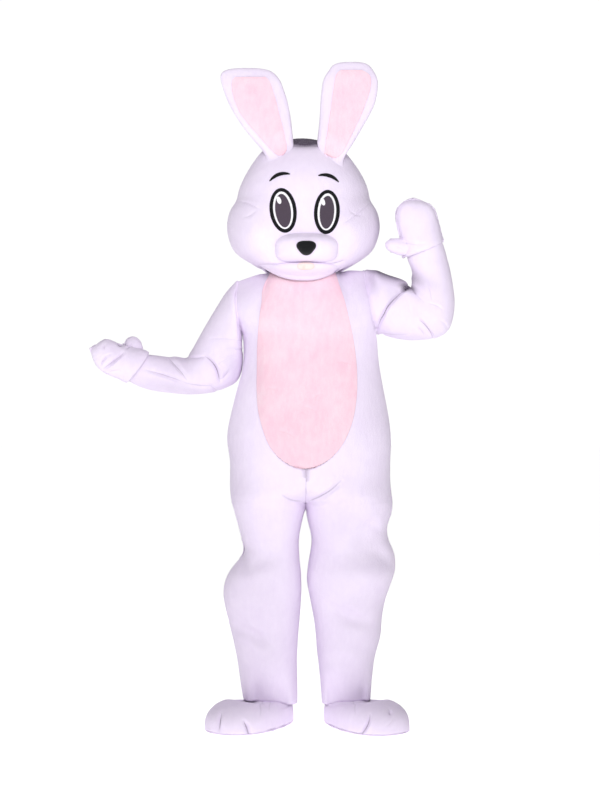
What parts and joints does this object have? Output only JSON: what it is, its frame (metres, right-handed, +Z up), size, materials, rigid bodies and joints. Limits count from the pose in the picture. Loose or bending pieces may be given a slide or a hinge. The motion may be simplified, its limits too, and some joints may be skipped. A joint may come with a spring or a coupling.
{
  "type": "rabbit mascot costume",
  "caption": "Full-body plush rabbit mascot costume in the hollow form it has when worn, waving: suit, rounded head with tall ears, mitts and soft feet.",
  "frame": {"origin": "on the centre plane between the wearer's shoulders, at the height where they carry the suit", "axes": "+Z up, the front towards -Y, the wearer's left towards +X"},
  "size_m": [1.0785, 0.4485, 1.965],
  "materials": {
    "plush_white": "short white plush with a lilac cast",
    "plush_pink": "short pale pink plush",
    "felt_black": "black felt",
    "felt_white": "white felt",
    "felt_grey": "dark grey felt",
    "felt_cream": "cream felt",
    "zip_white": "white coil zip and lacquered slider"
  },
  "bodies": {
    "costume": {"belly_panel": "plush_pink", "brow_left": "felt_black", "brow_right": "felt_black", "ear_left": "plush_white", "ear_left_inner": "plush_pink", "ear_right": "plush_white", "ear_right_inner": "plush_pink", "eye_left_glint": "felt_white", "eye_left_pupil": "felt_grey", "eye_left_rim": "felt_black", "eye_left_white": "felt_white", "eye_right_glint": "felt_white", "eye_right_pupil": "felt_grey", "eye_right_rim": "felt_black", "eye_right_white": "felt_white", "foot_left_sole": "plush_white", "foot_left_upper": "plush_white", "foot_right_sole": "plush_white", "foot_right_upper": "plush_white", "head_back_left": "plush_white", "head_back_right": "plush_white", "head_crown": "plush_white", "head_face": "plush_white", "jaw": "plush_white", "mitt_left_back": "plush_white", "mitt_left_palm": "plush_white", "mitt_right_back": "plush_white", "mitt_right_palm": "plush_white", "muzzle": "plush_white", "nose": "felt_black", "sleeve_left": "plush_white", "sleeve_right": "plush_white", "suit_back_left": "plush_white", "suit_back_right": "plush_white", "suit_front_left": "plush_white", "suit_front_right": "plush_white", "tooth": "felt_cream", "zip_chain": "zip_white", "zip_slider": "zip_white", "zip_tape": "plush_white"},
    "pull": {"zip_pull": "zip_white"}
  },
  "joints": [
    {"name": "pull_swing", "type": "hinge", "parent": "costume", "child": "pull", "pos_m": [0, 0.1059, -0.0143], "axis": [1, 0, 0], "range_deg": [0, 45]}
  ]
}
